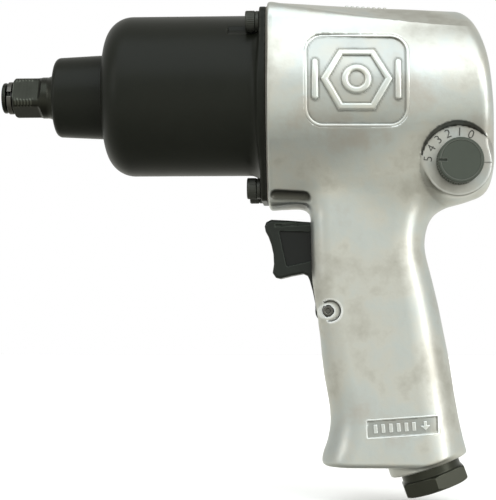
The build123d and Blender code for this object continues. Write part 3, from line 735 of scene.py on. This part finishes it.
def worn_and_shaded(nodes, links, base, worn, worn_span, shade_and_dirt, shade_and_dirt_span):
    """Lighten the ridges of a base colour for wear, then darken its hollows with painted shade; on the
    housing the dark also stands for dirt on the dial floor.
    """
    base = mix(nodes, links, masked(nodes, links, "ridge", *worn_span), base, worn)
    return mix(nodes, links, masked(nodes, links, "hollow", *shade_and_dirt_span), base, shade_and_dirt)


def cast_aluminium(name="cast_aluminium", tone=1.0):
    """Hand-polished casting: cloudy buffing, fine grain, painted shade in the hollows and bright ridges."""
    mat, nodes, links, shader, coord = new_material(name)
    blotch = noise(nodes, links, coord, 34, 5, 0.62)
    cloud = noise(nodes, links, coord, 110, 5, 0.65)
    grain = noise(nodes, links, coord, 1500, 3, 0.6)
    stops = [(0.34, (0.43, 0.415, 0.365)), (0.45, (0.575, 0.57, 0.52)),
             (0.55, (0.53, 0.565, 0.55)), (0.66, (0.49, 0.47, 0.43))]
    base = ramp(nodes, links, blotch, [(at, scaled(colour, tone)) for at, colour in stops])
    base = mix(nodes, links, span(nodes, links, cloud, 0.0, 0.5), base, scaled((0.46, 0.455, 0.42), tone))
    # ridges lightened for wear, hollows darkened with painted shade
    base = worn_and_shaded(nodes, links, base, (0.88, 0.90, 0.90), (0.12, 0.6, 0.75),
                     (0.055, 0.053, 0.043), (0.10, 0.85, 0.95))
    links.new(base, shader.inputs["Base Color"])
    shader.inputs["Metallic"].default_value = 0.9
    links.new(span(nodes, links, cloud, 0.30, 0.44), shader.inputs["Roughness"])
    normal = bump(nodes, links, grain, 0.10, 0.00008)
    normal = bump(nodes, links, cloud, 0.16, 0.0006, normal)
    normal = bump(nodes, links, blotch, 0.12, 0.002, normal)
    links.new(normal, shader.inputs["Normal"])
    return mat


def black_coat(name, colour, edge, rough, metallic, grain_scale=900, strength=0.14, gloss=0.5):
    """Blackened or painted steel: cloudy coat, fine grain, edges worn through, painted shade in the hollows.
    """
    mat, nodes, links, shader, coord = new_material(name)
    cloud = noise(nodes, links, coord, 60, 4, 0.6)
    grain = noise(nodes, links, coord, grain_scale, 3, 0.65)
    base = mix(nodes, links, span(nodes, links, cloud, 0.0, 0.8), colour, scaled(colour, 1.6))
    base = worn_and_shaded(nodes, links, base, edge, (0.15, 0.7, 0.8), scaled(colour, 0.35), (0.15, 0.8, 0.8))
    links.new(base, shader.inputs["Base Color"])
    shader.inputs["Metallic"].default_value = metallic
    shader.inputs["Specular IOR Level"].default_value = gloss
    links.new(span(nodes, links, cloud, *rough), shader.inputs["Roughness"])
    normal = bump(nodes, links, grain, strength, 0.0001)
    links.new(bump(nodes, links, cloud, 0.08, 0.0008, normal), shader.inputs["Normal"])
    return mat


def turned_metal(name, light, dark, rough=(0.18, 0.34)):
    """Machined metal: fine marks across the turning axis, with slight staining, and painted shade in the
    hollows.
    """
    mat, nodes, links, shader, coord = new_material(name)
    marks = noise(nodes, links, coord, 1.0, 3, 0.6, (1400, 30, 30))
    cloud = noise(nodes, links, coord, 140, 4, 0.6)
    base = mix(nodes, links, span(nodes, links, cloud, 0.0, 1.0), light, dark)
    base = mix(nodes, links, span(nodes, links, marks, 0.0, 0.4), base, scaled(dark, 0.5))
    base = worn_and_shaded(nodes, links, base, scaled(light, 3), (0.12, 0.6, 0.8),
                     scaled(dark, 0.2), (0.1, 0.7, 0.9))
    links.new(base, shader.inputs["Base Color"])
    shader.inputs["Metallic"].default_value = 1.0
    links.new(span(nodes, links, marks, *rough), shader.inputs["Roughness"])
    links.new(bump(nodes, links, marks, 0.12, 0.00005), shader.inputs["Normal"])
    return mat


def soft_matter(name, light, dark, rough=(0.55, 0.8), scale=350, strength=0.2, gloss=0.5):
    """Rubber, paper, phenolic and plastic: speckle, fine grain, uneven gloss and painted shade in the
    hollows.
    """
    mat, nodes, links, shader, coord = new_material(name)
    grain = noise(nodes, links, coord, scale * 4, 3, 0.7)
    cloud = noise(nodes, links, coord, scale, 4, 0.6)
    base = mix(nodes, links, span(nodes, links, cloud, 0.0, 1.0), dark, light)
    base = worn_and_shaded(nodes, links, base, scaled(light, 4.5), (0.15, 0.7, 0.7),
                     scaled(dark, 0.4), (0.15, 0.8, 0.8))
    links.new(base, shader.inputs["Base Color"])
    shader.inputs["Specular IOR Level"].default_value = gloss
    links.new(span(nodes, links, cloud, *rough), shader.inputs["Roughness"])
    links.new(bump(nodes, links, grain, strength, 0.00012), shader.inputs["Normal"])
    return mat


ALUMINIUM = cast_aluminium()
MATS = {
    "cast_aluminium": ALUMINIUM,
    "black_steel": black_coat("case_black", (0.0062, 0.0068, 0.0046), (0.04, 0.04, 0.033), (0.32, 0.44), 0.0,
                              gloss=0.15),
    "black_oxide": black_coat("black_oxide", (0.024, 0.025, 0.020), (0.12, 0.12, 0.11), (0.30, 0.48), 0.5,
                              1500),
    "drive_steel": turned_metal("drive_steel", (0.050, 0.052, 0.043), (0.026, 0.027, 0.022), (0.24, 0.40)),
    "bright_steel": turned_metal("bright_steel", (0.62, 0.61, 0.58), (0.50, 0.49, 0.47)),
    "bronze": turned_metal("bronze", (0.55, 0.36, 0.16), (0.42, 0.25, 0.11), (0.3, 0.5)),
    "brass": turned_metal("brass", (0.70, 0.55, 0.25), (0.55, 0.41, 0.18)),
    "rubber": soft_matter("rubber", (0.030, 0.030, 0.030), (0.014, 0.014, 0.014)),
    "gasket_paper": soft_matter("gasket_paper", (0.24, 0.22, 0.19), (0.13, 0.12, 0.10), (0.75, 0.9)),
    "vane_composite": soft_matter("vane_composite", (0.34, 0.19, 0.10), (0.22, 0.11, 0.06), (0.45, 0.6)),
    "trigger_black": soft_matter("trigger_black", (0.012, 0.015, 0.011), (0.006, 0.008, 0.006), (0.30, 0.46),
                                 300, 0.12, 0.28),
    "knob_grey": black_coat("knob_grey", (0.040, 0.046, 0.036), (0.16, 0.16, 0.14), (0.40, 0.55), 0.2,
                            1500, 0.1, 0.3),
    "inlet_steel": black_coat("inlet_steel", (0.026, 0.027, 0.019), (0.13, 0.13, 0.10), (0.26, 0.40), 0.6,
                              1000, 0.2, 0.35),
}
# A brighter copy of the aluminium: painted highlight for the raised badge and plate marks.
HIGHLIGHT_COPY = cast_aluminium("painted_highlight_aluminium", 1.15)
PIN_STEEL = turned_metal("pin_steel", (0.16, 0.155, 0.14), (0.09, 0.088, 0.08), (0.3, 0.5))
ENGRAVED = soft_matter("engraved_paint", (0.07, 0.068, 0.06), (0.035, 0.034, 0.03), (0.6, 0.8))

slot_of = {part["node"]: part["material_slot"] for part in frame["record"]["subparts"]}
for node, obj in frame["nodes"].items():
    obj.data.materials.clear()
    obj.data.materials.append(MATS[slot_of[node]])


# ------------------------------------------------------------------ build
def around(node, pad=1.2):
    """A CAD node's box with some room round it, in millimetres."""
    lo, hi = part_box(node)
    return [c / MM - pad for c in lo], [c / MM + pad for c in hi]


def build(name, sdf, node, body, voxel, reach=0.6, mat=None):
    """Sculpt one piece in the place of the CAD node it replaces."""
    obj = sculpt(name, sdf, *around(node), voxel, reach)
    slot = slot_of[node]
    return place(obj, body, mat or MATS[slot], slot, node)


def repaint(obj, label, change):
    """Pass a piece's attribute through change(x, y, z, value), in millimetres."""
    count = len(obj.data.vertices)
    co = np.empty(count * 3)
    obj.data.vertices.foreach_get("co", co)
    x, y, z = (co.reshape(-1, 3) / MM).T
    layer = obj.data.attributes[label]
    value = np.empty(count, np.float32)
    layer.data.foreach_get("value", value)
    layer.data.foreach_set("value", clamp(change(x, y, z, value)).astype(np.float32))


def housing_dirt_and_shade(x, y, z, value):
    """Painted shade on the housing: the scoops, the sunk badge panel, rims round the badge strokes and along
    the bead, the plate recess and the upper wall of each dial recess; the dial floor, which a buffing wheel
    can't reach, is also dirtier.
    """
    r = hyp(x - DIAL[0], z - DIAL[1])
    dial = (r < 14.6) & (np.abs(y) < 25.6) & (np.abs(y) > 20)
    # dial floor: dirt, plus painted shadow near the upper wall
    wall = clamp((r - 13.2) / 1.0) * clamp((z - DIAL[1] + 6) / 8)
    value = np.where(dial, np.maximum(value, 0.26 + 0.12 * wall), value)
    # painted shade on the upper part of the flared dial wall
    rise = (r > 13.2) & (r < 16.2) & (np.abs(y) > 25.2) & (np.abs(y) < 31)
    rise &= np.abs(r - DIAL_WALL - DIAL_FLARE * (np.abs(y) - DIAL_FLOOR)) < 0.5
    value = np.where(rise, np.maximum(value, 0.5 * clamp((z - DIAL[1] + 6) / 5)), value)
    # painted shade in the scoops
    scoop = segment(x, np.abs(y), z, *SCOOP)
    value = np.maximum(value, 0.9 * clamp(1 - scoop / 0.8))
    u, v = x - BADGE[0], z - BADGE[1]
    near = (y < -20) & (x < 164) & (z > -24)
    # painted shade on the sunk panel, round the badge strokes and along the bead
    value = np.where(near & (panel_depth(x, z) > 0.5), np.maximum(value, 0.24), value)
    strokes = 0.62 * clamp(1 - np.abs(badge_outline(u, v) - 0.1) / 0.8)
    value = np.where(near, np.maximum(value, strokes), value)
    bead = 0.6 * clamp(1 - np.abs(panel_edge(x, z) + 1.15) / 0.7)
    value = np.where(near, np.maximum(value, bead), value)
    # painted shade in the plate recess
    on_grip = (y < -12) & (z < -118)
    plate = 0.36 * clamp(0.5 - plate_edge(x, z) / 0.6)
    return np.where(on_grip, np.maximum(value, plate), value)


def housing_ridge(x, y, z, value):
    """No bright edges in the dial's sockets, nor inside the trigger slot."""
    dial = (hyp(x - DIAL[0], z - DIAL[1]) < 10) & (np.abs(y) < 25.6)
    slot = (np.abs(y) < 8.6) & (x < 131) & (z < -46) & (z > -92)
    return np.where(dial | slot, 0, value)


def trigger_recess_shade(x, y, z, value):
    """Painted shade: the sunken panels on the trigger's sides are darkened."""
    panel = polygon(x, z, TRIGGER_PANEL) - 0.5
    dark = clamp(0.9 - panel) * (np.abs(y) > 5)
    return np.where(np.abs(y) < 7.2, np.maximum(value, dark), value)


def drive_wear(x, y, z, value):
    """Socket wear: short bright ticks along both edges of each flat of the square."""
    u, v = square_axes(y, z)
    across = np.minimum(np.abs(u), np.abs(v))
    ticks = 0.5 + 0.5 * np.cos(2 * math.pi * x / 1.25 + 1.3 * np.sin(3.1 * across + u))
    band = clamp((across - 2.9 - 0.9 * np.cos((x - 9) * 0.4)) / 0.5)
    band *= clamp((x - 4.6) / 0.5) * clamp((12.8 - x) / 1.0)
    return np.maximum(value * 0.55, 0.42 * band * ticks)


def build_group(name, sdf, lo, hi, voxel, offsets, node):
    """Several copies of one small piece as one object."""
    first = sculpt(name + "_one", sdf, lo, hi, voxel, 0.4)
    co = np.empty(len(first.data.vertices) * 3)
    first.data.vertices.foreach_get("co", co)
    co = co.reshape(-1, 3)
    faces = [tuple(p.vertices) for p in first.data.polygons]
    verts, quads = [], []
    px, py, pz = co.T
    for i, (y, z, turn) in enumerate(offsets):
        c, s = math.cos(turn), math.sin(turn)
        moved = np.stack([px, py * c - pz * s + y * MM, py * s + pz * c + z * MM], 1)
        verts.extend(moved.tolist())
        quads.extend(tuple(v + i * len(co) for v in f) for f in faces)
    obj = add_object(name, smooth_mesh(name, verts, quads))
    bpy.data.objects.remove(first)
    weighted = obj.modifiers.new("weighted", "WEIGHTED_NORMAL")
    weighted.keep_sharp = True
    return place(obj, "housing", MATS[slot_of[node]], slot_of[node], node)


def turned(angles):
    """The cap screws' places, each with its own turn."""
    return [(y, z, t) for (y, z, _), t in zip(BOLTS, angles)]


coarse = 1.0
casting = build("housing_casting", housing, "motor_housing", "housing", 0.6 * coarse, 1.3)
repaint(casting, "hollow", housing_dirt_and_shade)
repaint(casting, "ridge", housing_ridge)
build("case_shell", hammer_case, "hammer_case", "housing", 0.5 * coarse, 1.0)
repaint(build("anvil_drive", anvil, "anvil", "drive_anvil", 0.3), "ridge", drive_wear)
build("drive_friction_ring", friction_ring, "socket_retaining_ring", "drive_anvil", 0.14, 0.25, PIN_STEEL)
repaint(build("trigger_body", trigger, "trigger", "trigger_lever", 0.3), "hollow", trigger_recess_shade)
build("trigger_pin_rod", pin_end, "trigger_pin", "housing", 0.2, 0.3, PIN_STEEL)
build("regulator_dial_knob", knob, "power_regulator_knob", "regulator", 0.22, 0.4)
build("selector_lever", lever, "reverse_lever", "selector", 0.26)
build("selector_screw", lever_screw, "reverse_lever_screw", "selector", 0.18, 0.3)
build("air_inlet_bushing", inlet_bushing, "inlet_bushing", "housing", 0.32)
build("exhaust_plate", deflector, "exhaust_deflector", "housing", 0.25, 0.4)
rng = np.random.default_rng(7)
turns = rng.uniform(0, 2 * math.pi, 4)
build_group("cap_screws", cap_screw, (95.8, -5, -5), (119, 5, 5), 0.2,
            turned(turns), "case_screws")
build_group("split_lock_washers", lock_washer, (99.8, -5, -5), (103, 5, 5), 0.18,
            turned(turns[::-1]), "case_lock_washers")

# The raised badge and plate marks take the brighter copy: painted highlight.
badge = sculpt("panel_badge", emblem, (117, -37.5, -19), (160, -24, 22), 0.26, 0.7)
place(badge, "housing", HIGHLIGHT_COPY, "cast_aluminium")
marks = sculpt("grip_marks", plate_marks, (140, -17.5, -135), (172, -13, -122), 0.2, 0.5)
place(marks, "housing", HIGHLIGHT_COPY, "cast_aluminium")

index = sculpt("dial_index_line", index_line, (185, -25.6, -30), (191.2, -24.2, -28.4), 0.12, 0.3)
place(index, "housing", ENGRAVED, "cast_aluminium")
crown = sculpt("crown_ribs", top_marks, (133, -10, 30), (152, 10, 37), 0.2, 0.5)
place(crown, "housing", ALUMINIUM, "cast_aluminium")

for label, angle in zip("012345", DIAL_NUMBERS):
    curve = bpy.data.curves.new("dial_" + label, "FONT")
    curve.body = label
    curve.size = 4.6 * MM
    curve.extrude = 0.10 * MM
    curve.offset = -0.00004
    curve.align_x, curve.align_y = "CENTER", "CENTER"
    text = add_object("dial_" + label, curve)
    a = math.radians(angle)
    across, up = DIAL[0] + NUMBER_RING * math.cos(a), DIAL[1] + NUMBER_RING * math.sin(a)
    text.location = (across * MM, -25.14 * MM, up * MM)
    text.rotation_mode = "QUATERNION"
    text.rotation_quaternion = Quaternion((0, 1, 0), math.pi / 2 - a) @ Quaternion((1, 0, 0), math.pi / 2)
    curve.materials.append(ENGRAVED)
    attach(text, "housing")

# ------------------------------------------------------------------ stage
FLOOR_Z = -0.159
floor_mesh = bpy.data.meshes.new("floor")
corners = [(-2, -1.6, FLOOR_Z), (2, -1.6, FLOOR_Z), (2, 1.7, FLOOR_Z), (-2, 1.7, FLOOR_Z)]
floor_mesh.from_pydata(corners, [], [(0, 1, 2, 3)])
floor = add_object("floor", floor_mesh)
floor_mat, nodes, links, shader, coord = new_material("pale_floor")
links.new(mix(nodes, links, noise(nodes, links, coord, 40), (0.62, 0.62, 0.615), (0.66, 0.66, 0.655)),
          shader.inputs["Base Color"])
shader.inputs["Roughness"].default_value = 0.9
floor_mesh.materials.append(floor_mat)
# The floor stays out of reflections: the world's own lower colours light the undersides.
floor.visible_glossy = False

# White behind the piece. For light, a soft room: darker below, and dimmer towards the front of the tool.
world = bpy.data.worlds.new("studio")
bpy.context.scene.world = world
world.use_nodes = True
nodes, links = world.node_tree.nodes, world.node_tree.links
sky = nodes["Background"]
aim_at = nodes.new("ShaderNodeTexCoord")
parts = nodes.new("ShaderNodeSeparateXYZ")
links.new(aim_at.outputs["Generated"], parts.inputs[0])
height = remap(nodes, links, parts.outputs["Z"], from_min=-1.0)
links.new(ramp(nodes, links, height,
               [(0.0, (0.26, 0.255, 0.225)), (0.20, (0.68, 0.68, 0.60)), (0.38, (1.12, 1.12, 1.02)),
                (0.50, (0.90, 0.92, 0.87)), (1.0, (0.60, 0.60, 0.56))]), sky.inputs["Color"])
sideways = remap(nodes, links, parts.outputs["X"], from_min=-1.0, from_max=-0.1, to_min=0.72)
links.new(sideways, sky.inputs["Strength"])
plain = nodes.new("ShaderNodeBackground")
plain.inputs["Color"].default_value = (1, 1, 1, 1)
seen = nodes.new("ShaderNodeLightPath")
choose = nodes.new("ShaderNodeMixShader")
links.new(seen.outputs["Is Camera Ray"], choose.inputs[0])
links.new(sky.outputs[0], choose.inputs[1])
links.new(plain.outputs[0], choose.inputs[2])
links.new(choose.outputs[0], nodes["World Output"].inputs["Surface"])


def area_light(name, where, target, size, power, colour=(1, 1, 1)):
    data = bpy.data.lights.new(name, "AREA")
    data.shape, data.size, data.size_y = "RECTANGLE", size[0], size[1]
    data.energy, data.color = power, colour
    lamp = add_object(name, data)
    lamp.location = where
    lamp.rotation_euler = (Vector(target) - Vector(where)).to_track_quat("-Z", "Y").to_euler()
    lamp.visible_camera = False
    return lamp


area_light("key_top", (0.12, -0.75, 0.95), (0.12, 0, -0.02), (2.0, 1.3), 12.0, (0.92, 1.0, 1.05))
area_light("side_right", (0.85, -0.85, 0.38), (0.15, 0, 0), (0.8, 0.6), 3.0, (0.96, 1.0, 1.0))
area_light("strip_right", (0.95, -0.45, 0.0), (0.15, 0, -0.05), (0.25, 1.0), 2.5)
area_light("strip_left", (-0.75, -0.55, 0.30), (0.12, 0, -0.03), (0.25, 0.7), 1.3)
wash = area_light("floor_wash", (0.1, 1.15, 0.6), (0.1, 1.1, -0.16), (3.2, 1.7), 38.0)
only_floor = bpy.data.collections.new("lit_by_floor_wash")
only_floor.objects.link(floor)
wash.light_linking.receiver_collection = only_floor

camera_data = bpy.data.cameras.new("camera")
camera_data.sensor_width = 36.0
camera = add_object("camera", camera_data)
bpy.context.scene.camera = camera
eye = Vector((0.1255, -0.550, -0.084))
aim = Vector((0.0965, 0.0, -0.0607))
camera.location = eye
camera.rotation_euler = (aim - eye).to_track_quat("-Z", "Y").to_euler()
camera_data.lens = 100.944
camera_data.clip_start, camera_data.clip_end = 0.01, 20

bpy.context.scene.view_settings.view_transform = "Standard"
